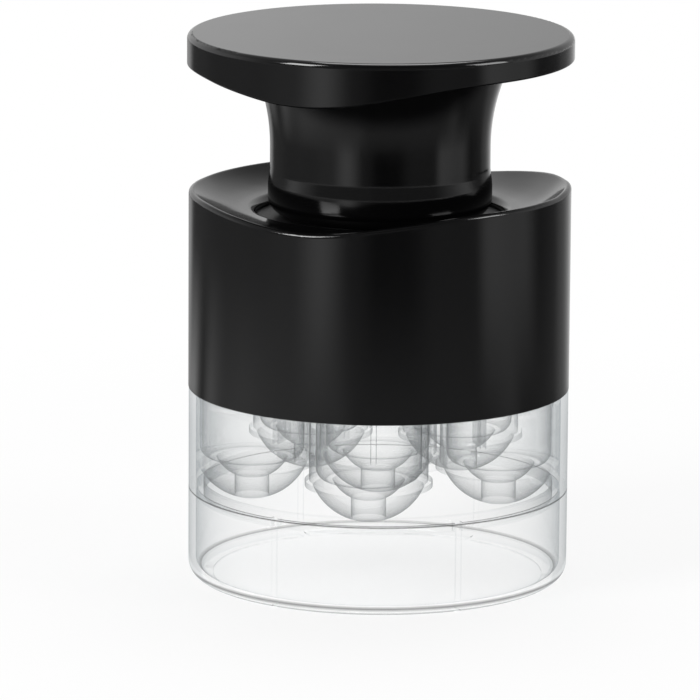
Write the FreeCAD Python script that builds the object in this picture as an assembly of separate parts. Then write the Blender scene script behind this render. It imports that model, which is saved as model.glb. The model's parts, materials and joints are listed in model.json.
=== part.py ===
import FreeCAD, Part
import math
import os

os.makedirs("parts", exist_ok=True)

# Push-down cherry pitter: a clear stone container, a clear tray with six cherry pockets,
# a black housing that sits on the tray, and a sprung plunger with six pins and a wide press disc.
# Millimetres and degrees. +Z is up, z = 0 is the resting plane, and the axis of the pitter is Z.
# The front is -Y. Angles about Z count from the front towards +X.

Vector = FreeCAD.Vector
ORIGIN = Vector(0, 0, 0)
UP = Vector(0, 0, 1)

# Heights of the stack, bottom to top
container_height = 23.6
tray_height = 26.7
housing_height = 48.7        # up to the low points of the wavy rim
press_gap = 32.0             # from the housing's rim to the disc's edge, parallel all round
disc_depth = 12.0            # disc edge at its low points

# Outer radii
vessel_radius = 49.45        # container and tray
housing_overhang = 0.1       # the housing's wall stands this far outside the tray's
disc_radius = 50.0

# Walls and fits
clear_wall = 1.9
housing_wall = 2.0
handle_wall = 2.2
disc_wall = 2.2
loose_fit = 0.3              # between pieces that lift apart or slide
snug_fit = 0.05              # between pieces that are fixed together
overshoot = 1.0              # cutting shapes run this far past what they cut
overlap = 1.0                # shapes that are joined run this far into each other
edge_search = 0.5            # how near to its level an edge that gets rounded is looked for

# Wavy rim: a valley across the axis, the same on the housing and on the disc
valley_angle = -17.5         # direction of the valley, from the front
valley_slope = 8.8
valley_rounding = 90.0
crest_start = 30.7           # distance from the valley's line where the slope eases off
crest_rounding = 83.0
wave_tilt = 1.25             # lifts the crest on the right above the one on the left

# Container
floor_thickness = 1.7
floor_recess = 0.5           # the foot ring stands this far below the floor
foot_inner_radius = 43.0
base_rounding = 4.0
inner_base_rounding = 2.5
key_angles = (-30.0, 30.0, 150.0, 210.0)
key_width = 1.6
key_depth = 0.8
key_setback = 0.8            # below the container's rim
foot_notch_width = 2.0

# Spigots that centre the tray in the container and the housing on the tray
spigot_wall = 1.7
lower_spigot_depth = 2.4
upper_spigot_height = 2.4
ledge_thickness = 1.8

# Cherry pockets
ring_count = 5
pocket_radius = 13.6
pocket_inset = 0.2           # a ring pocket's bore from the inside of the tray's wall
pocket_wall = 1.7
pocket_mouth_flare = 0.7
pocket_corner = 3.2
shoulder_drop = 16.3         # from the deck's top to the pocket's shoulder
seat_radius = 10.5           # hollow ball under the shoulder
seat_rise = 4.9              # ball's centre above the shoulder
bowl_radius = 15.6           # outside of the bowl
bowl_drop = 27.1             # from the deck's top to the ball's lowest point
stone_hole_radius = 4.5
bead_radius = 16.4
bead_height = 1.5
deck_setback = 1.3           # below the tray's rim
deck_thickness = 1.8
web_thickness = 1.4

# Housing
dish_hole_radius = 32.3
dish_hole_drop = 1.5         # hole's edge below the rim's low points
dish_flat_radius = 33.6
dish_grid_step = 6.0
top_wall = 2.2
rim_rounding = 1.0
lip_rounding = 1.9
column_radius = 3.3
column_inset = 5.5           # column's axis from the inner wall
column_web = 3.0

# Stripper plate under the housing
stripper_setback = 1.0       # above the housing's lower edge
stripper_thickness = 2.5
collar_wall = 1.8
collar_height = 2.0
seat_wall_height = 1.2
seat_wall_thickness = 1.2
stiffener_thickness = 1.4
stiffener_height = 1.4

# Pins
pin_radius = 2.5
pin_head_radius = 4.0
pin_head_thickness = 1.7
pin_tip_setback = 1.1        # above the stripper plate's lower face
pin_cup_radius = 1.7
pin_cup_depth = 2.2
pin_slot_width = 1.0
pin_slot_depth = 1.8

# Pin carrier and pin retainer
carrier_thickness = 2.7
carrier_fit = 0.5
skirt_wall = 1.8
skirt_depth = 5.0
pad_radius = 24.0
pad_thickness = 0.9          # the handle's foot stands this far above the carrier
retainer_thickness = 2.4
boss_radius = 3.4
boss_depth = 3.6
boss_floor = 1.0
well_height = 23.3           # above the carrier's plate
well_wall = 2.0
well_roof = 2.0
post_radius = 4.6
centre_screw_depth = 8.0

# Return spring
spring_wire = 1.5
spring_radius = 6.25         # to the middle of the wire
spring_turns = 11
spring_end_turns = 1.0
spring_end_pitch = 2.2
spring_blend_turns = 0.75
spring_clearance = 0.8

# Press handle
stalk_radius = 28.55
collar_bulge = 0.5           # the stalk is this much wider round its foot
collar_length = 10.0
collar_blend = 4.0           # height over which that width fades out
collar_rounding = 9.0
stalk_foot_rounding = 4.5
stalk_straight = 17.8        # from the stalk's foot to the start of its flare
flare_radius = 50.0
flare_angle = 24.0
flange_inset = 2.5           # flange edge from the disc's outer radius
flange_recess = 1.2          # flange's underside above the disc's edge
flange_fillet = 3.0

# Disc cap
disc_top_rounding = 1.5
disc_edge_rounding = 0.5
plug_wall = 1.8
plug_depth = 12.0
disc_rib_count = 6
disc_rib_thickness = 1.6

# Screws
screw_radius = 1.5
screw_head_radius = 2.8
screw_head_height = 1.8
screw_head_rounding = 0.9
screw_countersink = 1.5
screw_recess_width = 0.8
screw_recess_span = 3.4
screw_recess_depth = 0.9
stripper_screw_length = 8.0
screw_tip_room = 1.0         # bore left past a screw's tip
handle_screw_count = 3
handle_screw_ring = 17.5

# Levels that follow from the sizes above
joint_z = container_height
seat_z = joint_z + tray_height
rim_z = seat_z + housing_height
edge_z = rim_z + press_gap
top_z = edge_z + disc_depth
deck_z = seat_z - deck_setback
shoulder_z = deck_z - shoulder_drop
hole_z = rim_z - dish_hole_drop
stripper_z = seat_z + stripper_setback
stripper_top = stripper_z + stripper_thickness
carrier_top = hole_z - top_wall - loose_fit
carrier_z = carrier_top - carrier_thickness
handle_foot = carrier_top + pad_thickness
handle_floor = handle_foot + handle_wall
retainer_z = carrier_z - retainer_thickness
well_top = carrier_top + well_height
well_ceiling = well_top - well_roof
flange_z = edge_z + flange_recess
pin_tip = stripper_z + pin_tip_setback

# Radii that follow
vessel_bore = vessel_radius - clear_wall
ring_radius = vessel_bore - pocket_radius - pocket_inset
housing_radius = vessel_radius + housing_overhang
housing_bore = housing_radius - housing_wall
stripper_radius = housing_bore - 2 * loose_fit - spigot_wall
column_ring = housing_bore - column_inset
pin_hole = pin_radius + loose_fit
collar_radius = pin_hole + collar_wall
carrier_radius = housing_bore - carrier_fit
retainer_radius = column_ring - column_radius - loose_fit
well_bore = spring_radius + spring_wire / 2 + spring_clearance
well_radius = well_bore + well_wall
disc_bore = disc_radius - disc_wall
flange_radius = disc_radius - flange_inset
screw_hole = screw_radius + loose_fit
screw_seat = screw_radius + snug_fit

ring_angles = [index * 360.0 / ring_count for index in range(ring_count)]
column_angles = [angle + 180.0 / ring_count for angle in ring_angles]
screw_angles = [index * 360.0 / handle_screw_count + valley_angle for index in range(handle_screw_count)]


def on_ring(angle, radius, z=0.0):
    """Point at an angle from the front, a radius and a height."""
    turn = math.radians(angle)
    return Vector(radius * math.sin(turn), -radius * math.cos(turn), z)


def rounded_wire(corners):
    """Closed outline in the XZ plane; a corner is (x, z) or (x, z, rounding radius)."""
    points = [Vector(corner[0], 0, corner[1]) for corner in corners]
    radii = [corner[2] if len(corner) > 2 else 0.0 for corner in corners]
    ends = []
    for index, point in enumerate(points):
        before = points[index - 1] - point
        after = points[(index + 1) % len(points)] - point
        if radii[index] == 0.0:
            ends.append((point, None, point))
            continue
        before.normalize()
        after.normalize()
        half = before.getAngle(after) / 2
        reach = radii[index] / math.tan(half)
        inward = before + after
        inward.normalize()
        middle = point + inward * (radii[index] / math.sin(half) - radii[index])
        ends.append((point + before * reach, middle, point + after * reach))
    edges = []
    for index, (start, middle, end) in enumerate(ends):
        if middle:
            edges.append(Part.Arc(start, middle, end).toShape())
        following = ends[(index + 1) % len(ends)][0]
        if end.distanceToPoint(following) > 1e-6:
            edges.append(Part.LineSegment(end, following).toShape())
    return Part.Wire(edges)


def turned(corners):
    """Solid of revolution about Z from an outline of (radius, z, rounding) corners."""
    return Part.Face(rounded_wire(corners)).revolve(ORIGIN, UP, 360)


def disc(radius, low, high, centre=ORIGIN):
    return Part.makeCylinder(radius, high - low, Vector(centre.x, centre.y, low))


def tube(outer, inner, low, high, centre=ORIGIN):
    return disc(outer, low, high, centre).cut(disc(inner, low, high, centre))


def bar(length, width, low, high, start, angle):
    """Upright bar that runs outwards from a start radius at an angle."""
    block = Part.makeBox(width, length, high - low, Vector(-width / 2, -start - length, low))
    block.rotate(ORIGIN, UP, angle)
    return block


def shifted(shape, offset):
    copy = shape.copy()
    copy.translate(offset)
    return copy


def single(shape):
    """The one solid of a boolean result, with split faces joined."""
    return shape.removeSplitter().Solids[0]


def valley_rise(distance):
    """Height of the wavy edge above its lowest line, at a distance from that line."""
    slope = math.radians(valley_slope)
    foot = valley_rounding * math.sin(slope)
    crest_length = crest_rounding * math.sin(slope)
    across = abs(distance)
    if across < foot:
        return valley_rounding - math.sqrt(valley_rounding ** 2 - across ** 2)
    foot_rise = valley_rounding * (1 - math.cos(slope))
    if across < crest_start:
        return foot_rise + (across - foot) * math.tan(slope)
    crest_rise = foot_rise + (crest_start - foot) * math.tan(slope)
    back = max(crest_length - (across - crest_start), 0.0)
    drop = crest_rounding * (1 - math.cos(slope))
    return crest_rise + drop - (crest_rounding - math.sqrt(crest_rounding ** 2 - back ** 2))


def wave_point(across, level):
    return Vector(across, 0, level + valley_rise(across))


def above_wave(level, blank):
    """The part of a round blank that lies above the wavy surface at a level."""
    slope = math.radians(valley_slope)
    foot = valley_rounding * math.sin(slope)
    crest_end = crest_start + crest_rounding * math.sin(slope)
    reach = crest_end + disc_radius
    top = top_z + reach * math.tan(math.radians(wave_tilt)) + overshoot
    right = [
        Part.LineSegment(wave_point(foot, level), wave_point(crest_start, level)).toShape(),
        Part.Arc(wave_point(crest_start, level), wave_point((crest_start + crest_end) / 2, level),
                 wave_point(crest_end, level)).toShape(),
        Part.LineSegment(wave_point(crest_end, level), wave_point(reach, level)).toShape(),
    ]
    left = [edge.mirror(ORIGIN, Vector(1, 0, 0)) for edge in reversed(right)]
    valley = Part.Arc(wave_point(-foot, level), wave_point(0, level), wave_point(foot, level)).toShape()
    high_right = Vector(reach, 0, top)
    high_left = Vector(-reach, 0, top)
    rest = [
        Part.LineSegment(wave_point(reach, level), high_right).toShape(),
        Part.LineSegment(high_right, high_left).toShape(),
        Part.LineSegment(high_left, wave_point(-reach, level)).toShape(),
    ]
    face = Part.Face(Part.Wire(Part.__sortEdges__(left + [valley] + right + rest)))
    length = 4 * disc_radius
    block = shifted(face, Vector(0, -length / 2, 0)).extrude(Vector(0, length, 0))
    block.rotate(Vector(0, 0, level), Vector(0, -1, 0), wave_tilt)
    block.rotate(ORIGIN, UP, valley_angle)
    return block.common(blank)


def dish_height(x, y):
    """Height of the housing's dished top: level round the hole, rising to the wavy rim."""
    radius = math.hypot(x, y)
    angle = math.atan2(x, -y) - math.radians(valley_angle)
    across = housing_radius * math.sin(angle)
    rim_rise = valley_rise(across) + across * math.tan(math.radians(wave_tilt)) + dish_hole_drop
    share = max(radius - dish_flat_radius, 0.0) / (housing_radius - dish_flat_radius)
    return hole_z + rim_rise * share ** 2


def above_dish(lowered=0.0):
    """Block above the housing's dished top, or above a copy of it that is lowered."""
    reach = housing_radius + dish_grid_step
    count = math.ceil(2 * reach / dish_grid_step)
    places = [-reach + 2 * reach * index / count for index in range(count + 1)]
    rows = [[Vector(x, y, dish_height(x, y) - lowered) for y in places] for x in places]
    surface = Part.BSplineSurface()
    surface.interpolate(rows)
    height = top_z - hole_z + top_wall + overshoot
    return surface.toShape().extrude(Vector(0, 0, height))


def make_container():
    inner = vessel_bore
    body = turned([
        (0, floor_recess), (foot_inner_radius, floor_recess), (foot_inner_radius, 0),
        (vessel_radius, 0, base_rounding), (vessel_radius, joint_z), (inner, joint_z),
        (inner, floor_recess + floor_thickness, inner_base_rounding), (0, floor_recess + floor_thickness),
    ])
    for angle in key_angles:
        key = bar(key_depth + clear_wall / 2, key_width, floor_recess + floor_thickness / 2,
                  joint_z - key_setback, inner - key_depth, angle)
        body = body.fuse(key)
    for angle in key_angles:
        notch = bar(vessel_radius, foot_notch_width, -overshoot, floor_recess,
                    foot_inner_radius - overshoot, angle)
        body = body.cut(notch)
    return single(body)


def pocket_bore(centre):
    """Everything that is open inside one cherry pocket, from above the deck to below the bowl."""
    seat_centre = shoulder_z + seat_rise
    high = seat_z + upper_spigot_height + overshoot
    column = turned([
        (0, high), (pocket_radius + pocket_mouth_flare, high),
        (pocket_radius + pocket_mouth_flare, deck_z), (pocket_radius, deck_z - 2 * pocket_mouth_flare),
        (pocket_radius, shoulder_z, pocket_corner), (0, shoulder_z),
    ])
    seat = Part.makeSphere(seat_radius, Vector(0, 0, seat_centre))
    hole = disc(stone_hole_radius, deck_z - bowl_drop - overshoot, seat_centre)
    return shifted(column.fuse([seat, hole]), centre)


def pocket_shell(centre):
    """Outside of one pocket: a cylinder, a bead at the shoulder and a round bowl."""
    outer = pocket_radius + pocket_wall
    ball_centre = deck_z - bowl_drop + bowl_radius
    ball = Part.makeSphere(bowl_radius, Vector(0, 0, ball_centre))
    bowl = ball.common(disc(outer, deck_z - bowl_drop - overshoot, shoulder_z))
    column = disc(outer, shoulder_z - bead_height / 2, deck_z - deck_thickness / 2)
    bead = disc(bead_radius, shoulder_z - bead_height, shoulder_z)
    return shifted(bowl.fuse([column, bead]), centre)


def make_tray():
    wall = tube(vessel_radius, vessel_bore, joint_z, seat_z)
    lower_outer = vessel_bore - loose_fit
    upper_outer = housing_bore - loose_fit
    lower_inner = lower_outer - spigot_wall
    ledge_top = joint_z + ledge_thickness
    lower_spigot = tube(lower_outer, lower_inner, joint_z - lower_spigot_depth, ledge_top)
    ledge = tube(vessel_radius - clear_wall / 2, lower_inner, joint_z, ledge_top)
    upper_spigot = tube(upper_outer, upper_outer - spigot_wall, deck_z - deck_thickness / 2,
                        seat_z + upper_spigot_height)
    deck = disc(vessel_radius - clear_wall / 2, deck_z - deck_thickness, deck_z)
    centres = [ORIGIN] + [on_ring(angle, ring_radius) for angle in ring_angles]
    shells = [pocket_shell(centre) for centre in centres]
    webs = []
    side = 2 * ring_radius * math.sin(math.pi / ring_count)
    apothem = ring_radius * math.cos(math.pi / ring_count)
    for angle in column_angles:
        web = Part.makeBox(side, web_thickness, deck_z - deck_thickness / 2 - shoulder_z,
                           Vector(-side / 2, -apothem - web_thickness / 2, shoulder_z))
        web.rotate(ORIGIN, UP, angle)
        webs.append(web)
    for angle in ring_angles:
        webs.append(bar(ring_radius, web_thickness, shoulder_z, deck_z - deck_thickness / 2, 0, angle))
    body = wall.fuse([lower_spigot, ledge, upper_spigot, deck] + shells + webs)
    body = body.common(disc(vessel_radius, 0, top_z))
    body = body.cut([pocket_bore(centre) for centre in centres])
    for angle in key_angles:
        slot = bar(clear_wall + spigot_wall, key_width + 2 * loose_fit,
                   joint_z - lower_spigot_depth - overshoot, joint_z, lower_inner - overshoot, angle)
        body = body.cut(slot)
    return single(body)


def make_housing():
    outer = disc(housing_radius, seat_z, top_z).cut(above_dish())
    cavity = disc(housing_bore, seat_z, top_z).cut(above_dish(top_wall))
    hole = disc(dish_hole_radius, seat_z, top_z)
    columns = []
    for angle in column_angles:
        column = disc(column_radius, stripper_top, top_z, on_ring(angle, column_ring))
        web = bar(column_inset, column_web, stripper_top, top_z, column_ring, angle)
        columns.append(column.fuse(web))
    column_block = columns[0].fuse(columns[1:]).common(cavity)
    body = outer.cut(cavity).cut(hole).fuse(column_block)
    core_top = stripper_top + stripper_screw_length
    for angle in column_angles:
        body = body.cut(disc(screw_seat, stripper_top, core_top, on_ring(angle, column_ring)))
    body = single(body)
    rim = circle_edges(body, housing_radius, rim_z - edge_search)
    body = body.makeFillet(rim_rounding, rim)
    lip = circle_edges(body, dish_hole_radius, hole_z - edge_search)
    return body.makeFillet(lip_rounding, lip)


def circle_edges(body, radius, low, high=None):
    """Edges that run round the axis at a radius and between two levels."""
    found = []
    for edge in body.Edges:
        middle = edge.valueAt((edge.FirstParameter + edge.LastParameter) / 2)
        on_radius = abs(math.hypot(middle.x, middle.y) - radius) < edge_search / 10
        above = edge.BoundBox.ZMin > low
        below = high is None or edge.BoundBox.ZMax < high
        if on_radius and above and below and not is_upright(edge):
            found.append(edge)
    return found


def make_stripper():
    plate = disc(stripper_radius, stripper_z, stripper_top)
    centres = [ORIGIN] + [on_ring(angle, ring_radius) for angle in ring_angles]
    parts = [disc(collar_radius, stripper_z, stripper_top + collar_height, centre) for centre in centres]
    parts.append(tube(well_bore + seat_wall_thickness, well_bore, stripper_top - overlap,
                      stripper_top + seat_wall_height))
    for angle in ring_angles:
        start = well_bore + seat_wall_thickness / 2
        parts.append(bar(ring_radius - start, stiffener_thickness, stripper_top - overlap,
                         stripper_top + stiffener_height, start, angle))
    body = plate.fuse(parts)
    body = body.cut([disc(pin_hole, stripper_z - overshoot, rim_z, centre) for centre in centres])
    for angle in column_angles:
        centre = on_ring(angle, column_ring)
        body = body.cut(disc(screw_hole, stripper_z, stripper_top, centre))
        body = body.cut(countersunk_head(centre, stripper_z, 1))
    return single(body)


def countersunk_head(centre, face, direction):
    """Cone under a flat screw head whose face lies at a level and whose shank points up or down."""
    return Part.makeCone(screw_head_radius, screw_radius, screw_countersink, centre + Vector(0, 0, face),
                         Vector(0, 0, direction))


def cross_recess(centre, face, direction):
    """Cross-shaped driver recess, sunk from a level in the direction of the shank."""
    low = min(face, face + direction * screw_recess_depth)
    arms = []
    for turn in (0, 90):
        arm = Part.makeBox(screw_recess_span, screw_recess_width, screw_recess_depth,
                           Vector(-screw_recess_span / 2, -screw_recess_width / 2, low))
        arm.rotate(ORIGIN, UP, turn)
        arms.append(shifted(arm, centre))
    return arms[0].fuse(arms[1])


def make_stripper_screw(angle):
    centre = on_ring(angle, column_ring)
    tip = stripper_top + stripper_screw_length - screw_tip_room
    shank = disc(screw_radius, stripper_z + screw_countersink / 2, tip, centre)
    screw = shank.fuse(countersunk_head(centre, stripper_z, 1))
    return single(screw.cut(cross_recess(centre, stripper_z, 1)))


def make_pan_screw(centre, seat, tip):
    """Round-headed screw whose head stands on a seat and whose shank points down."""
    head_top = seat + screw_head_height
    head = turned([(0, seat), (screw_head_radius, seat),
                   (screw_head_radius, head_top, screw_head_rounding), (0, head_top)])
    shank = disc(screw_radius, tip, seat + screw_head_height / 2)
    screw = shifted(head.fuse(shank), centre)
    return single(screw.cut(cross_recess(centre, head_top, -1)))


def column_clearance(low, high):
    """Room for the housing's five columns and their webs in a plate that slides between them."""
    rooms = []
    for angle in column_angles:
        room = disc(column_radius + carrier_fit, low, high, on_ring(angle, column_ring))
        slot = bar(column_inset + carrier_fit, column_web + 2 * carrier_fit, low, high, column_ring, angle)
        rooms.append(room.fuse(slot))
    return rooms


def make_carrier():
    plate = disc(carrier_radius, carrier_z, carrier_top)
    skirt = tube(carrier_radius, carrier_radius - skirt_wall, carrier_z - skirt_depth, carrier_z)
    pad = disc(pad_radius, carrier_top - overlap, handle_foot)
    well = disc(well_radius, carrier_top - overlap, well_top)
    body = plate.fuse([skirt, pad, well])
    body = body.cut(disc(well_bore, carrier_z - overshoot, well_ceiling))
    post = disc(post_radius, carrier_z, well_top - well_roof / 2)
    body = body.fuse(post)
    shank_top = well_ceiling - centre_screw_depth / 2
    body = body.cut(disc(pin_radius + snug_fit, carrier_z - overshoot, shank_top))
    body = body.cut(disc(screw_hole, shank_top - overlap, well_top + overshoot))
    for angle in ring_angles:
        head_room = disc(pin_head_radius + snug_fit, carrier_z, carrier_z + pin_head_thickness + snug_fit,
                         on_ring(angle, ring_radius))
        body = body.cut(head_room)
    for angle in screw_angles:
        body = body.cut(disc(screw_hole, carrier_z, handle_foot, on_ring(angle, handle_screw_ring)))
    body = body.cut(column_clearance(carrier_z - skirt_depth, carrier_top))
    return single(body)


def make_retainer():
    plate = disc(retainer_radius, retainer_z, carrier_z)
    bosses = [disc(boss_radius, retainer_z - boss_depth, carrier_z, on_ring(angle, handle_screw_ring))
              for angle in screw_angles]
    body = plate.fuse(bosses)
    body = body.cut(disc(well_bore, retainer_z - overshoot, carrier_z + overshoot))
    for angle in ring_angles:
        body = body.cut(disc(pin_radius + snug_fit, retainer_z, carrier_z, on_ring(angle, ring_radius)))
    for angle in screw_angles:
        foot = retainer_z - boss_depth + boss_floor
        bore = disc(screw_seat, foot, carrier_z, on_ring(angle, handle_screw_ring))
        body = body.cut(bore)
    return single(body)


def pin_blank(top):
    """Round pin with a hollow, four-toothed tip."""
    shank = disc(pin_radius, pin_tip, top)
    cup = Part.makeCone(pin_cup_radius, 0, pin_cup_depth, Vector(0, 0, pin_tip))
    body = shank.cut(cup)
    for turn in (0, 90):
        slot = Part.makeBox(4 * pin_radius, pin_slot_width, pin_slot_depth,
                            Vector(-2 * pin_radius, -pin_slot_width / 2, pin_tip))
        slot.rotate(ORIGIN, UP, turn)
        body = body.cut(slot)
    return body


def make_ring_pin(angle):
    head = disc(pin_head_radius, carrier_z, carrier_z + pin_head_thickness)
    pin = shifted(pin_blank(carrier_z).fuse(head), on_ring(angle, ring_radius))
    return single(pin)


def make_centre_pin():
    top = well_ceiling - centre_screw_depth / 2
    bore = disc(screw_seat, top - centre_screw_depth, top)
    return single(pin_blank(top).cut(bore))


def handle_outline(shift, foot, high):
    """Corners of the trumpet stalk's side, moved inwards by a wall."""
    turn = math.radians(flare_angle)
    fade_foot = handle_foot + collar_length - collar_blend / 2
    fade_top = handle_foot + collar_length + collar_blend / 2
    flare_start = handle_foot + stalk_straight
    corner_z = flare_start + (flare_radius + shift) * math.tan(turn / 2)
    end_radius = stalk_radius - shift + (high - corner_z) * math.tan(turn)
    collar = stalk_radius + collar_bulge
    return [
        (0, foot), (collar - shift, foot, stalk_foot_rounding - shift),
        (collar - shift, fade_foot, collar_rounding), (stalk_radius - shift, fade_top, collar_rounding),
        (stalk_radius - shift, corner_z, flare_radius + shift), (end_radius, high), (0, high),
    ]


def flare_bore(z):
    """Inner radius of the trumpet stalk at a height above the start of its flare."""
    rise = z - handle_foot - stalk_straight
    outer_arc = flare_radius + handle_wall
    return stalk_radius - handle_wall + outer_arc - math.sqrt(outer_arc ** 2 - rise ** 2)


def make_handle():
    stalk = turned(handle_outline(0, handle_foot, top_z))
    flange = above_wave(flange_z, disc(flange_radius, rim_z, top_z))
    body = stalk.fuse(flange).removeSplitter()
    corner = [edge for edge in body.Edges if is_stalk_corner(edge)]
    body = body.makeFillet(flange_fillet, corner)
    body = body.cut(above_wave(flange_z + handle_wall, disc(disc_radius, rim_z, top_z + overshoot)))
    body = body.cut(turned(handle_outline(handle_wall, handle_floor, top_z + overshoot)))
    body = body.cut(disc(well_radius + loose_fit, handle_foot - overshoot, handle_floor + overshoot))
    for angle in screw_angles:
        body = body.cut(disc(screw_hole, handle_foot, handle_floor, on_ring(angle, handle_screw_ring)))
    return single(body)


def is_stalk_corner(edge):
    """Whether an edge runs where the outside of the stalk meets the flange's underside."""
    middle = edge.valueAt((edge.FirstParameter + edge.LastParameter) / 2)
    radius = math.hypot(middle.x, middle.y)
    under_flange = edge.BoundBox.ZMin > flange_z - edge_search and edge.BoundBox.ZMax < top_z - disc_wall
    return stalk_radius < radius < flange_radius - flange_inset - flange_fillet and under_flange


def make_cap():
    blank = turned([(0, rim_z), (disc_radius, rim_z), (disc_radius, top_z, disc_top_rounding), (0, top_z)])
    hollow = disc(disc_bore, rim_z - overshoot, top_z - disc_wall)
    body = above_wave(edge_z, blank.cut(hollow))
    under = top_z - disc_wall - edge_search
    rims = circle_edges(body, disc_radius, 0, under) + circle_edges(body, disc_bore, 0, under)
    body = body.makeFillet(disc_edge_rounding, rims)
    plug_foot = top_z - disc_wall - plug_depth
    plug_radius = flare_bore(plug_foot) - loose_fit
    plug = tube(plug_radius, plug_radius - plug_wall, plug_foot, top_z - disc_wall / 2)
    start = plug_radius - plug_wall / 2
    room = above_wave(flange_z + handle_wall + snug_fit, disc(disc_radius, edge_z, top_z))
    ribs = []
    for index in range(disc_rib_count):
        angle = valley_angle + (index + 0.5) * 360.0 / disc_rib_count
        rib = bar(disc_bore + disc_wall / 2 - start, disc_rib_thickness, edge_z, top_z - disc_wall / 2,
                  start, angle)
        ribs.append(rib.common(room))
    return single(body.fuse([plug] + ribs))


def is_upright(edge):
    box = edge.BoundBox
    return box.ZLength > 2 and max(box.XLength, box.YLength) < 0.01


def spring_rise(turn, height):
    """Height of the wire above the spring's foot, with closer turns at both ends."""
    if turn > spring_turns / 2:
        return height - spring_rise(spring_turns - turn, height)
    open_turns = spring_turns - 2 * spring_end_turns - spring_blend_turns
    pitch_gain = (height - spring_end_pitch * spring_turns) / open_turns
    past = turn - spring_end_turns
    if past <= 0:
        return spring_end_pitch * turn
    if past <= spring_blend_turns:
        return spring_end_pitch * turn + pitch_gain * past ** 2 / (2 * spring_blend_turns)
    return spring_end_pitch * turn + pitch_gain * (past - spring_blend_turns / 2)


def spring_frame(turn, low, height):
    """Point and direction of the spring's wire after a number of turns."""
    angle = 2 * math.pi * turn
    step = 1e-4
    inside = min(max(turn, step), spring_turns - step)
    climb = (spring_rise(inside + step, height) - spring_rise(inside - step, height)) / (2 * step)
    outwards = Vector(math.cos(angle), math.sin(angle), 0)
    sideways = Vector(-math.sin(angle), math.cos(angle), 0)
    point = outwards * spring_radius + Vector(0, 0, low + spring_rise(turn, height))
    along = sideways * (2 * math.pi * spring_radius) + Vector(0, 0, climb)
    along.normalize()
    return point, along


def arc_between(start, corner, end):
    """Arc from start to end that is tangent to the lines that meet at the corner."""
    reach = start.distanceToPoint(corner)
    weight = start.distanceToPoint(end) / (2 * reach)
    middle = (start + corner * (2 * weight) + end) * (1 / (2 * (1 + weight)))
    return Part.Arc(start, middle, end).toShape()


def biarc(start, along_start, end, along_end):
    """Two tangent arcs that join two points with given directions."""
    chord = end - start
    both = along_start + along_end
    bend = 2 * (1 - along_start.dot(along_end))
    side = chord.dot(both)
    reach = (-side + math.sqrt(side ** 2 + bend * chord.dot(chord))) / bend
    first_corner = start + along_start * reach
    last_corner = end - along_end * reach
    middle = (first_corner + last_corner) * 0.5
    return [arc_between(start, first_corner, middle), arc_between(middle, last_corner, end)]


def make_spring():
    low = stripper_top + spring_wire / 2
    height = well_ceiling - stripper_top - spring_wire
    steps = 4 * spring_turns
    frames = [spring_frame(index / 4, low, height) for index in range(steps + 1)]
    first_point, first_along = frames[0]
    last_point, last_along = frames[-1]
    level_first = Vector(first_along.x, first_along.y, 0)
    level_last = Vector(last_along.x, last_along.y, 0)
    level_first.normalize()
    level_last.normalize()
    frames[0] = (first_point, level_first)
    frames[-1] = (last_point, level_last)
    start = first_point - level_first * spring_wire
    end = last_point + level_last * spring_wire
    edges = [Part.LineSegment(start, first_point).toShape()]
    for (point, along), (next_point, next_along) in zip(frames, frames[1:]):
        edges += biarc(point, along, next_point, next_along)
    edges.append(Part.LineSegment(last_point, end).toShape())
    path = Part.Wire(edges)
    section = Part.Wire(Part.Circle(start, level_first, spring_wire / 2).toShape())
    coil = path.makePipeShell([section], True, False)
    report_spring_gap(low, height)
    return coil.Solids[0] if coil.Solids else Part.Solid(coil)


def report_spring_gap(low, height):
    """Print the least gap between neighbouring turns of the spring."""
    per_turn = 24
    points = [spring_frame(index / per_turn, low, height)[0] for index in range(spring_turns * per_turn + 1)]
    gap = min(points[index].distanceToPoint(other) - spring_wire
              for index in range(len(points)) for other in points[index + per_turn // 2:])
    print("least gap between spring turns: %.2f mm" % gap)


def save(shape, name):
    shape.exportStep("parts/%s.step" % name)
    state = "valid" if shape.isValid() and len(shape.Solids) == 1 else "NOT ONE VALID SOLID"
    box = shape.BoundBox
    print("%-20s %9.1f mm3  z %.2f to %.2f  %s" % (name, shape.Volume, box.ZMin, box.ZMax, state))


def main():
    save(make_container(), "pit_container")
    save(make_tray(), "cherry_tray")
    save(make_housing(), "housing")
    save(make_stripper(), "stripper_plate")
    for index, angle in enumerate(column_angles):
        save(make_stripper_screw(angle), "stripper_screw_%d" % (index + 1))
    save(make_carrier(), "pin_carrier")
    save(make_retainer(), "pin_retainer")
    for index, angle in enumerate(ring_angles):
        save(make_ring_pin(angle), "pitting_pin_%d" % (index + 1))
    save(make_centre_pin(), "centre_pin")
    save(make_pan_screw(ORIGIN, well_top, well_ceiling - centre_screw_depth), "centre_screw")
    save(make_spring(), "return_spring")
    save(make_handle(), "press_handle")
    for index, angle in enumerate(screw_angles):
        centre = on_ring(angle, handle_screw_ring)
        tip = retainer_z - boss_depth + boss_floor + snug_fit
        save(make_pan_screw(centre, handle_floor, tip), "handle_screw_%d" % (index + 1))
    save(make_cap(), "disc_cap")


main()
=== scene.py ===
import json
import math

import bmesh
import bpy
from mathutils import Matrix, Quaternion, Vector


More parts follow.
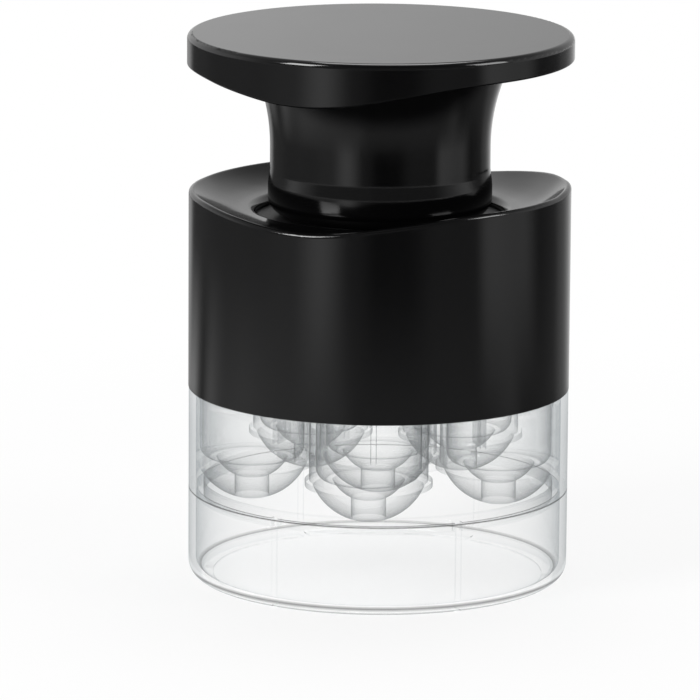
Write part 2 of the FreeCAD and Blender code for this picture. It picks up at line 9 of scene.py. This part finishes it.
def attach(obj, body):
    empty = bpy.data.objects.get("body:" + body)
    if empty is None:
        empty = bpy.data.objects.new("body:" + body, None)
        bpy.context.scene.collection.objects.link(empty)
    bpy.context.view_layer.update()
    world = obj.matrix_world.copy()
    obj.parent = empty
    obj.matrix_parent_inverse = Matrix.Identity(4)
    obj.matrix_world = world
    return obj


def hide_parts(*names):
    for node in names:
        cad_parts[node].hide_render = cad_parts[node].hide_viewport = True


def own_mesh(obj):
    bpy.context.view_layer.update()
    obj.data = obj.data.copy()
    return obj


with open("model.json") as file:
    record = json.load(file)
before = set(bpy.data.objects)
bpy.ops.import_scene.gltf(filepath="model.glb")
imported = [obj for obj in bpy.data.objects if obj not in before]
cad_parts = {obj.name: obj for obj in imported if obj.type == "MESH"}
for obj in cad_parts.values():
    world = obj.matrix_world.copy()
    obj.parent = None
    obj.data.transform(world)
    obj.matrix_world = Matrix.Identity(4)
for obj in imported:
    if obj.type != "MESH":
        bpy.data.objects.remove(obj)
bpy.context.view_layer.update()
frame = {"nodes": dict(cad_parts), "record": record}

nodes = frame["nodes"]

# Lengths are in metres, angles in degrees, and colours and brightness linear.

# Camera, placed round the object's axis
CAMERA_DISTANCE = 1.679
CAMERA_HEIGHT = 0.4135
CAMERA_TURN = 4.0            # to the object's right
CAMERA_ROLL = 0.38           # the object leans to the right by this much
AIM_LEFT = 0.0075            # the aim passes the axis on the left by this much
AIM_HEIGHT = 0.0594
LENS = 339.1                 # millimetres, as the sensor
SENSOR = 36.0
CLIP_START = 0.05

# Lamps that face the object: name, angle from the camera's side, distance from the axis, height,
# width, length and watts
LAMPS = (
    ("key_lamp", -52, 0.9, 0.75, 0.35, 0.5, 7.0),
    ("fill_lamp", 70, 1.0, 0.6, 0.4, 0.5, 4.0),
    ("top_lamp", 170, 0.35, 1.1, 0.6, 0.5, 5.0),
)
LAMP_AIM_HEIGHT = 0.07

# Floor
FLOOR_RADIUS = 6.0
FLOOR_GREY = 0.86
SHADOW_SHARE = 0.18          # share of the floor near the object that the lamps light and shade
SHADOW_FADE = (0.06, 0.30)   # that share fades out between these distances from the axis
RING_STEPS = 180             # sides of the floor's and the card's circles

# Card on the floor that only reflections see
CARD_RADII = (0.055, 3.0)
CARD_HEIGHT = 0.0006
CARD_DARK = 0.04             # share of its brightness that it has close to the object
CARD_DARK_FADE = (0.19, 0.25)    # it comes to its full brightness between these distances from the axis
CARD_STEP = (0.27, 0.48)     # and between these the near bands give way to the far ones
# Bands round the object: angle from the camera's side, and brightness
CARD_NEAR_BANDS = (
    (-180, 0.30), (-150, 0.40), (-138, 0.55), (-125, 0.12), (-112, 0.55), (-100, 0.40),
    (-79, 0.60), (-50, 0.52), (-24, 0.46), (-10, 0.28), (45, 0.26), (64, 0.23),
    (79, 0.33), (92, 0.13), (120, 0.13), (134, 0.25), (180, 1.00),
)
CARD_FAR_BANDS = (
    (-180, 0.30), (-156, 0.50), (-144, 0.10), (-120, 0.15), (-80, 0.25), (-52, 0.35),
    (-34, 0.90), (-15, 0.15), (0, 0.02), (15, 0.03), (34, 0.16), (56, 0.15),
    (66, 0.70), (90, 0.50), (108, 0.08), (124, 0.10), (134, 0.22), (180, 1.00),
)

# Backdrop as it lights the object and shows in reflections, by the parts of a ray's direction:
# X to the right, Y to the back, Z up
BACKDROP_RISE = ((0.30, 0.70), (0.75, 0.30))     # Z and brightness, at the horizon and overhead
BACKDROP_SIDES = (1.10, 0.87)    # share of that brightness on the left and on the right
BACKDROP_TURN = (-0.10, -0.035)  # X where the one ends and the other begins
FRONT_SHARE = 0.22           # share of it in front of the object
FRONT_TURN = (-0.45, 0.10)   # Y where the front's share ends and the full one begins
SECOND_LOSS = 0.65           # a reflection in a reflection loses this share
SECOND_DEPTH = 1.5           # and has been mirrored more often than this

# Textures: most of a noise's values lie in this range
NOISE_RANGE = (0.3, 0.7)
# Cells per metre, the factors on that along X, Y and Z, and detail
GLOSS_FLOW = (38.0, (1, 1, 0.35), 3.0)
GLOSS_SKIN = (2600.0, (1, 1, 1), 2.0)
SATIN_FLOW = (60.0, (1, 1, 1), 3.0)
SATIN_GRAIN = (3200.0, (1, 1, 1), 4.0)
STEEL_STAIN = (90.0, (1, 1, 1), 3.0)
STEEL_LINES = (500.0, (0.2, 0.2, 6), 3.0)
CLEAR_FLOW = (45.0, (1, 1, 0.4), 3.0)

# Opaque materials: colours and roughness from one end of the noise to the other, and depth of the skin
GLOSS_COLOURS = ((0.0022, 0.0022, 0.0024), (0.0034, 0.0034, 0.0036))
GLOSS_ROUGHNESS = (0.10, 0.14)
GLOSS_DEPTH = 0.000003
SATIN_COLOURS = ((0.006, 0.006, 0.0065), (0.010, 0.010, 0.011))
SATIN_ROUGHNESS = (0.38, 0.52)
SATIN_DEPTH = 0.00002
STEEL_COLOURS = ((0.56, 0.56, 0.57), (0.68, 0.68, 0.68))
STEEL_ROUGHNESS = (0.22, 0.36)
STEEL_DEPTH = 0.00001

# Clear plastic: what a wall lets through face on, and the grey where it turns away with the power of that
# turn; that grey is partly the longer path through the wall and partly painted shade that stands in for
# refraction
CLEAR_FACE = (0.995, 0.996, 0.996)
CONTAINER_EDGE = ((0.72, 0.74, 0.75), 3.0)
TRAY_EDGE = ((0.40, 0.42, 0.43), 2.1)
OUTER_EDGE = (0.79, 0.81, 0.82)  # the same for the wall outside OUTER_RADIUS
OUTER_RADIUS = 0.046
CLEAR_MIRROR = (0.02, 0.25)      # share that it mirrors, face on and where it turns away
CLEAR_ROUGHNESS = (0.02, 0.06)
CLEAR_DEPTH = 0.00006
CLEAR_LEVEL = (0.985, 0.998)     # between these upward parts of its normal a face comes to count as level
CLEAR_LEVEL_SHARE = 0.1          # and a level face is this much as grey as a curved one
CLEAR_LIMITS = (6.5, 10.5)       # after so many faces in or out a ray takes the backdrop's white

# Fine grey lines round the outer wall, a seam where two mouldings meet and painted shade where the inner
# floor meets the wall and at the foot: height, half width and greyness
JOINT_SEAM = (0.0236, 0.00030, 0.85)
# painted shade lines, where the inner floor meets the wall and at the foot
FLOOR_SHADE_LINE = (0.0022, 0.0009, 0.70)
FOOT_SHADE_LINE = (0.0005, 0.0006, 0.50)
LINE_LEVEL = 0.97            # faces more level than this show none


class Tree:
    """The nodes of a material or a world. A value is a node's output, a number or a colour."""

    def __init__(self, owner, output="OutputMaterial"):
        owner.use_nodes = True
        self.nodes = owner.node_tree.nodes
        self.links = owner.node_tree.links
        self.nodes.clear()
        self.output = self.add(output)

    def feed(self, socket, value):
        """Gives a socket its value."""
        if isinstance(value, (int, float)):
            socket.default_value = value
        elif isinstance(value, tuple):
            socket.default_value = (*value, 1)
        else:
            self.links.new(value, socket)

    def add(self, kind, inputs=None, **settings):
        """New node with its settings, and with its inputs by name or number."""
        node = self.nodes.new("ShaderNode" + kind)
        for name, value in settings.items():
            setattr(node, name, value)
        for socket, value in (inputs or {}).items():
            self.feed(node.inputs[socket], value)
        return node

    def shader(self, kind, inputs=None):
        return self.add(kind, inputs).outputs[0]

    def surface(self, shader):
        """Makes a shader the tree's result."""
        self.links.new(shader, self.output.inputs["Surface"])

    def blend(self, factor, first, second):
        """First shader where the factor is 0 and second where it is 1."""
        return self.add("MixShader", {"Fac": factor, 1: first, 2: second}).outputs["Shader"]

    def math(self, operation, first, second=None, clamp=False):
        """One arithmetic step on two values, or on one where it takes no more."""
        inputs = {0: first} if second is None else {0: first, 1: second}
        return self.add("Math", inputs, operation=operation, use_clamp=clamp).outputs["Value"]

    def spread(self, source, result, source_range=NOISE_RANGE):
        """Value that goes over the result's range as the source goes over its own."""
        inputs = {"Value": source, "From Min": source_range[0], "From Max": source_range[1],
                  "To Min": result[0], "To Max": result[1]}
        return self.add("MapRange", inputs).outputs["Result"]

    def between(self, factor, first, second):
        """First colour where the factor is 0 and second where it is 1."""
        inputs = {"Factor": factor, "A": first, "B": second}
        return self.add("Mix", inputs, data_type="RGBA").outputs["Result"]

    def ramp(self, factor, stops):
        """Grey eased between stops, which are pairs of a factor and a brightness."""
        node = self.add("ValToRGB", {"Fac": factor})
        node.color_ramp.interpolation = "EASE"
        elements = node.color_ramp.elements
        elements[0].position = stops[0][0]
        elements[-1].position = stops[-1][0]
        for where, level in stops[1:-1]:
            elements.new(where)
        for element, (where, level) in zip(elements, stops):
            element.color = (level, level, level, 1)
        return node.outputs["Color"]

    def place(self):
        """Position in the object's own coordinates."""
        return self.add("TexCoord").outputs["Object"]

    def parts(self, vector):
        """X, Y and Z of a vector, by name."""
        return self.add("SeparateXYZ", {0: vector}).outputs

    def length(self, vector):
        return self.add("VectorMath", {0: vector}, operation="LENGTH").outputs["Value"]

    def noise(self, cells, factors, detail):
        """Noise in the object's own coordinates, with so many cells per metre times the factors."""
        mapping = self.add("Mapping", {"Vector": self.place()})
        mapping.inputs["Scale"].default_value = factors
        inputs = {"Vector": mapping.outputs["Vector"], "Scale": cells, "Detail": detail}
        return self.add("TexNoise", inputs).outputs["Fac"]

    def bump(self, height, depth):
        """Normal of a skin whose relief is this deep."""
        return self.add("Bump", {"Height": height, "Distance": depth}).outputs["Normal"]


def new_material(name):
    """Empty node material with its tree."""
    material = bpy.data.materials.new(name)
    return material, Tree(material)


def black_gloss():
    """Polished black ABS: a faint sink and flow in the gloss, and a very fine skin."""
    material, tree = new_material("black_gloss_abs")
    flow = tree.noise(*GLOSS_FLOW)
    skin = tree.noise(*GLOSS_SKIN)
    tree.surface(tree.shader("BsdfPrincipled", {
        "Base Color": tree.between(flow, *GLOSS_COLOURS),
        "Roughness": tree.spread(flow, GLOSS_ROUGHNESS),
        "Normal": tree.bump(skin, GLOSS_DEPTH),
    }))
    return material


def black_satin():
    """Black inner parts with a fine eroded finish."""
    material, tree = new_material("black_satin_abs")
    grain = tree.noise(*SATIN_GRAIN)
    flow = tree.noise(*SATIN_FLOW)
    tree.surface(tree.shader("BsdfPrincipled", {
        "Base Color": tree.between(flow, *SATIN_COLOURS),
        "Roughness": tree.spread(grain, SATIN_ROUGHNESS),
        "Normal": tree.bump(grain, SATIN_DEPTH),
    }))
    return material


def steel():
    """Drawn and turned stainless steel with fine lines round the axis."""
    material, tree = new_material("turned_steel")
    lines = tree.noise(*STEEL_LINES)
    stain = tree.noise(*STEEL_STAIN)
    tree.surface(tree.shader("BsdfPrincipled", {
        "Base Color": tree.between(stain, *STEEL_COLOURS),
        "Metallic": 1.0,
        "Roughness": tree.spread(lines, STEEL_ROUGHNESS),
        "Normal": tree.bump(lines, STEEL_DEPTH),
    }))
    return material


def seam_and_shade_rings(tree, height_at, seam_and_shade_marks):
    """Greyness of fine rings at the heights given: a seam where two mouldings meet, and painted shade where a
    wall and a floor meet.
    """
    total = None
    for height, half_width, greyness in seam_and_shade_marks:
        off = tree.math("ABSOLUTE", tree.math("SUBTRACT", height_at, height))
        line = tree.spread(off, (greyness, 0), (0, half_width))
        total = line if total is None else tree.math("ADD", total, line, clamp=True)
    return total


def see_through(tree, tint_and_shade, backfacing, path):
    """Wall that a ray enters through a front face and leaves through a back face.
    Past the limits the ray takes the backdrop's white, so that stacked walls stay clear."""
    shadow = path["Is Shadow Ray"]
    into = tree.shader("BsdfTransparent", {"Color": tint_and_shade})
    out_of = tree.shader("BsdfRefraction", {"Color": tint_and_shade, "Roughness": 0.0, "IOR": 1.0})
    leaves = tree.math("SUBTRACT", backfacing, shadow, clamp=True)
    wall = tree.blend(leaves, into, out_of)
    many_in = tree.math("GREATER_THAN", path["Transparent Depth"], CLEAR_LIMITS[0])
    many_out = tree.math("GREATER_THAN", path["Transmission Depth"], CLEAR_LIMITS[1])
    deep = tree.math("SUBTRACT", tree.math("MAXIMUM", many_in, many_out), shadow, clamp=True)
    return tree.blend(deep, wall, tree.shader("Emission", {"Color": tint_and_shade}))


def clear_plastic(name, edge_colour, edge_power, seam_and_shade_marks):
    """Clear polished moulding: it shows what is behind, and is shinier where it turns away, and greyer there,
    partly from the longer path through the wall and partly with painted shade in place of refraction.
    """
    material, tree = new_material(name)
    flow = tree.noise(*CLEAR_FLOW)
    skin = tree.bump(flow, CLEAR_DEPTH)
    geometry = tree.add("NewGeometry").outputs
    path = tree.add("LightPath").outputs
    level = tree.math("ABSOLUTE", tree.parts(geometry["Normal"])["Z"])

    # How far the face turns away from the ray
    facing = tree.add("LayerWeight", {"Normal": skin}).outputs["Facing"]
    curved = tree.spread(level, (1, CLEAR_LEVEL_SHARE), CLEAR_LEVEL)
    edge = tree.math("MULTIPLY", tree.math("POWER", facing, edge_power), curved)

    # The outer wall, with the seam and the painted shade lines on its near side
    spot = tree.parts(tree.place())
    squares = [tree.math("MULTIPLY", spot[axis], spot[axis]) for axis in "XY"]
    radius = tree.math("SQRT", tree.math("ADD", *squares))
    outer = tree.math("GREATER_THAN", radius, OUTER_RADIUS)
    near_side = tree.math("SUBTRACT", outer, geometry["Backfacing"], clamp=True)
    near_side = tree.math("MULTIPLY", near_side, tree.math("LESS_THAN", level, LINE_LEVEL))
    seam_and_shade = tree.math("MULTIPLY", near_side, seam_and_shade_rings(tree, spot["Z"], seam_and_shade_marks))

    # Grey where the face turns away: partly the longer path through the wall, partly painted shade in place
    # of refraction
    edge_tint_and_shade = tree.between(outer, edge_colour, OUTER_EDGE)
    tint_and_shade = tree.between(edge, CLEAR_FACE, edge_tint_and_shade)
    shade = {0: tint_and_shade, "Scale": tree.math("SUBTRACT", 1, seam_and_shade)}
    tint_and_shade = tree.add("VectorMath", shade, operation="SCALE").outputs["Vector"]
    wall = see_through(tree, tint_and_shade, geometry["Backfacing"], path)

    shine = tree.shader("BsdfGlossy", {"Roughness": tree.spread(flow, CLEAR_ROUGHNESS), "Normal": skin})
    mirrored = tree.spread(edge, CLEAR_MIRROR, (0, 1))
    mirrored = tree.math("SUBTRACT", mirrored, path["Is Shadow Ray"], clamp=True)
    tree.surface(tree.blend(mirrored, wall, shine))
    return material


def dress_nodes():
    """Gives each CAD node the material of its slot in the record, and the tray a clear one that greys more
    where it turns away, partly with painted shade.
    """
    # The container's seam and its painted shade lines
    container_seam_and_shade_marks = (JOINT_SEAM, FLOOR_SHADE_LINE, FOOT_SHADE_LINE)
    materials = {
        "black_gloss": black_gloss(),
        "black_satin": black_satin(),
        "clear_plastic": clear_plastic("clear_moulding", *CONTAINER_EDGE, container_seam_and_shade_marks),
        "steel": steel(),
    }
    slots = {part["node"]: part["material_slot"] for part in frame["record"]["subparts"]}
    for name, node in nodes.items():
        node.data.materials.clear()
        node.data.materials.append(materials[slots[name]])
    tray = clear_plastic("clear_tray_moulding", *TRAY_EDGE, (JOINT_SEAM,))
    nodes["cherry_tray"].data.materials[0] = tray


def make_spring_coils():
    """The return spring's coils, which stand on the stripper plate: a copy of the spring, fixed to the head.
    """
    node = nodes["return_spring"]
    coils = bpy.data.objects.new("spring_coils", node.data.copy())
    bpy.context.scene.collection.objects.link(coils)
    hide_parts("return_spring")
    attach(coils, "head")
    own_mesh(coils)


def ring_mesh(name, inner, outer, height):
    """Flat ring of quads, or a disc of triangles where the inner radius is 0."""
    mesh = bmesh.new()
    turns = [2 * math.pi * step / RING_STEPS for step in range(RING_STEPS)]
    rings = []
    for radius in (inner, outer):
        if radius == 0:
            rings.append([mesh.verts.new((0, 0, height))] * RING_STEPS)
            continue
        rings.append([mesh.verts.new((radius * math.sin(turn), -radius * math.cos(turn), height))
                      for turn in turns])
    for step in range(RING_STEPS):
        after = (step + 1) % RING_STEPS
        corners = [rings[0][step], rings[1][step], rings[1][after], rings[0][after]]
        mesh.faces.new(list(dict.fromkeys(corners)))
    data = bpy.data.meshes.new(name)
    mesh.to_mesh(data)
    mesh.free()
    piece = bpy.data.objects.new(name, data)
    bpy.context.scene.collection.objects.link(piece)
    return piece


def make_floor():
    """Pale floor that keeps a soft shadow.
    To the camera, off shiny surfaces and through clear ones most of it is plain white."""
    floor = ring_mesh("floor", 0, FLOOR_RADIUS, 0.0)
    material, tree = new_material("pale_floor")
    path = tree.add("LightPath").outputs
    seen = tree.math("MAXIMUM", path["Is Camera Ray"], path["Is Glossy Ray"])
    seen = tree.math("MAXIMUM", seen, path["Is Transmission Ray"])
    white = tree.spread(tree.length(tree.place()), (1 - SHADOW_SHARE, 1), SHADOW_FADE)
    lit = tree.shader("BsdfDiffuse", {"Color": (FLOOR_GREY, FLOOR_GREY, FLOOR_GREY)})
    tree.surface(tree.blend(tree.math("MULTIPLY", seen, white), lit, tree.shader("Emission")))
    floor.data.materials.append(material)


def card_bands(tree, turn_share, bands):
    """Brightness of the card round the object, where the share runs from 0 at -180 degrees to 1 at 180."""
    return tree.ramp(turn_share, [((angle + 180) / 360, level) for angle, level in bands])


def make_card():
    """Graded card round the foot of the object that only reflections see."""
    card = ring_mesh("reflector_card", *CARD_RADII, CARD_HEIGHT)
    card.visible_camera = False
    card.visible_diffuse = False
    card.visible_shadow = False
    card.visible_transmission = False
    material, tree = new_material("graded_card")
    place = tree.place()
    spot = tree.parts(place)
    turn = tree.math("ARCTAN2", spot["X"], tree.math("MULTIPLY", spot["Y"], -1))
    camera_turn = math.radians(CAMERA_TURN)
    turn_share = tree.spread(turn, (0, 1), (camera_turn - math.pi, camera_turn + math.pi))
    near = card_bands(tree, turn_share, CARD_NEAR_BANDS)
    far = card_bands(tree, turn_share, CARD_FAR_BANDS)
    distance = tree.length(place)
    tree.surface(tree.shader("Emission", {
        "Color": tree.between(tree.spread(distance, (0, 1), CARD_STEP), near, far),
        "Strength": tree.spread(distance, (CARD_DARK, 1), CARD_DARK_FADE),
    }))
    card.data.materials.append(material)


def make_world():
    """Backdrop that is white to the camera and through clear parts, and a graded soft light to all else."""
    world = bpy.data.worlds.new("studio")
    bpy.context.scene.world = world
    tree = Tree(world, "OutputWorld")
    path = tree.add("LightPath").outputs
    direction = tree.parts(tree.add("TexCoord").outputs["Generated"])
    across = tree.spread(direction["X"], BACKDROP_SIDES, BACKDROP_TURN)
    behind = tree.spread(direction["Y"], (FRONT_SHARE, 1), FRONT_TURN)
    again = tree.math("GREATER_THAN", path["Glossy Depth"], SECOND_DEPTH)
    dimmer = tree.math("SUBTRACT", 1, tree.math("MULTIPLY", again, SECOND_LOSS))
    level = tree.math("MULTIPLY", tree.math("MULTIPLY", across, dimmer), behind)
    soft = tree.shader("Background", {"Color": tree.ramp(direction["Z"], BACKDROP_RISE), "Strength": level})
    seen = tree.math("MAXIMUM", path["Is Camera Ray"], path["Is Transmission Ray"])
    tree.surface(tree.blend(seen, soft, tree.shader("Background")))


def around(turn, distance, height):
    """Point at an angle from the camera's side, a distance from the axis and a height."""
    angle = math.radians(turn + CAMERA_TURN)
    return Vector((distance * math.sin(angle), -distance * math.cos(angle), height))


def aim(thing, target):
    thing.rotation_euler = (target - thing.location).to_track_quat("-Z", "Y").to_euler()


def make_lamps():
    for name, turn, distance, height, width, length, watts in LAMPS:
        lamp = bpy.data.lights.new(name, "AREA")
        lamp.shape = "RECTANGLE"
        lamp.size = width
        lamp.size_y = length
        lamp.energy = watts
        piece = bpy.data.objects.new(name, lamp)
        piece.location = around(turn, distance, height)
        aim(piece, Vector((0, 0, LAMP_AIM_HEIGHT)))
        bpy.context.scene.collection.objects.link(piece)


def make_camera():
    data = bpy.data.cameras.new("camera")
    data.lens = LENS
    data.sensor_width = SENSOR
    data.clip_start = CLIP_START
    camera = bpy.data.objects.new("camera", data)
    camera.location = around(0, CAMERA_DISTANCE, CAMERA_HEIGHT)
    aim(camera, around(-90, AIM_LEFT, AIM_HEIGHT))
    level = camera.rotation_euler.to_quaternion()
    camera.rotation_euler = (level @ Quaternion((0, 0, 1), math.radians(CAMERA_ROLL))).to_euler()
    bpy.context.scene.collection.objects.link(camera)
    bpy.context.scene.camera = camera


bpy.context.scene.view_settings.view_transform = "Standard"
dress_nodes()
make_spring_coils()
make_floor()
make_card()
make_world()
make_lamps()
make_camera()
